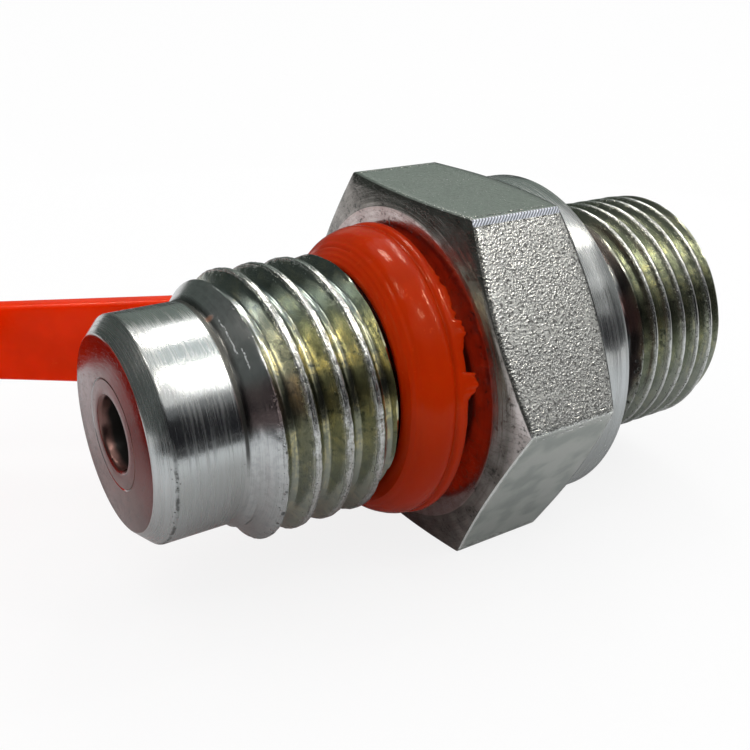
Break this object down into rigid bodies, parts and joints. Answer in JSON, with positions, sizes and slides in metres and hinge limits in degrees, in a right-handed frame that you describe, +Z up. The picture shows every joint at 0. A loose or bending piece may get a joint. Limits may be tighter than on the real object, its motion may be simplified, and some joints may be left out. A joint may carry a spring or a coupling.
{
  "type": "test point coupling",
  "caption": "Steel hydraulic test point coupling: threaded probe port, hexagon, screw-in stud and a tethered dust cap.",
  "frame": {"origin": "centre of the probe port's mouth, on the nose face", "axes": "+X along the turned axis from the port to the stud, +Z up, with one flat of the hexagon down"},
  "size_m": [0.0701, 0.0364, 0.022],
  "materials": {
    "zinc_steel": "turned free-cutting steel, bright zinc plate, slightly yellowed in the threads",
    "valve_steel": "plain turned steel",
    "spring_steel": "drawn stainless wire",
    "seal_rubber": "black moulded nitrile",
    "backup_plastic": "white turned plastic",
    "orange_plastic": "soft moulded polyethylene, satin, with a torn edge at the ring"
  },
  "bodies": {
    "coupling": {"coupling_body": "zinc_steel", "guide_bush": "zinc_steel", "backup_ring": "backup_plastic", "probe_seal": "seal_rubber", "valve_spring": "spring_steel", "spring_seat": "valve_steel", "retaining_clip": "spring_steel", "stud_seal": "seal_rubber"},
    "valve": {"valve_poppet": "valve_steel", "poppet_seal": "seal_rubber"},
    "tether": {"tether_cap": "orange_plastic"}
  },
  "joints": [
    {"name": "valve_lift", "type": "slide", "parent": "coupling", "child": "valve", "axis": [1, 0, 0], "range_m": [0, 0.003], "stiffness_N_per_m": 2500, "springref_m": -0.004, "deforming": ["valve_spring"]},
    {"name": "tether_swivel", "type": "hinge", "parent": "coupling", "child": "tether", "pos_m": [0.01595, 0, 0], "axis": [1, 0, 0], "continuous": true}
  ]
}
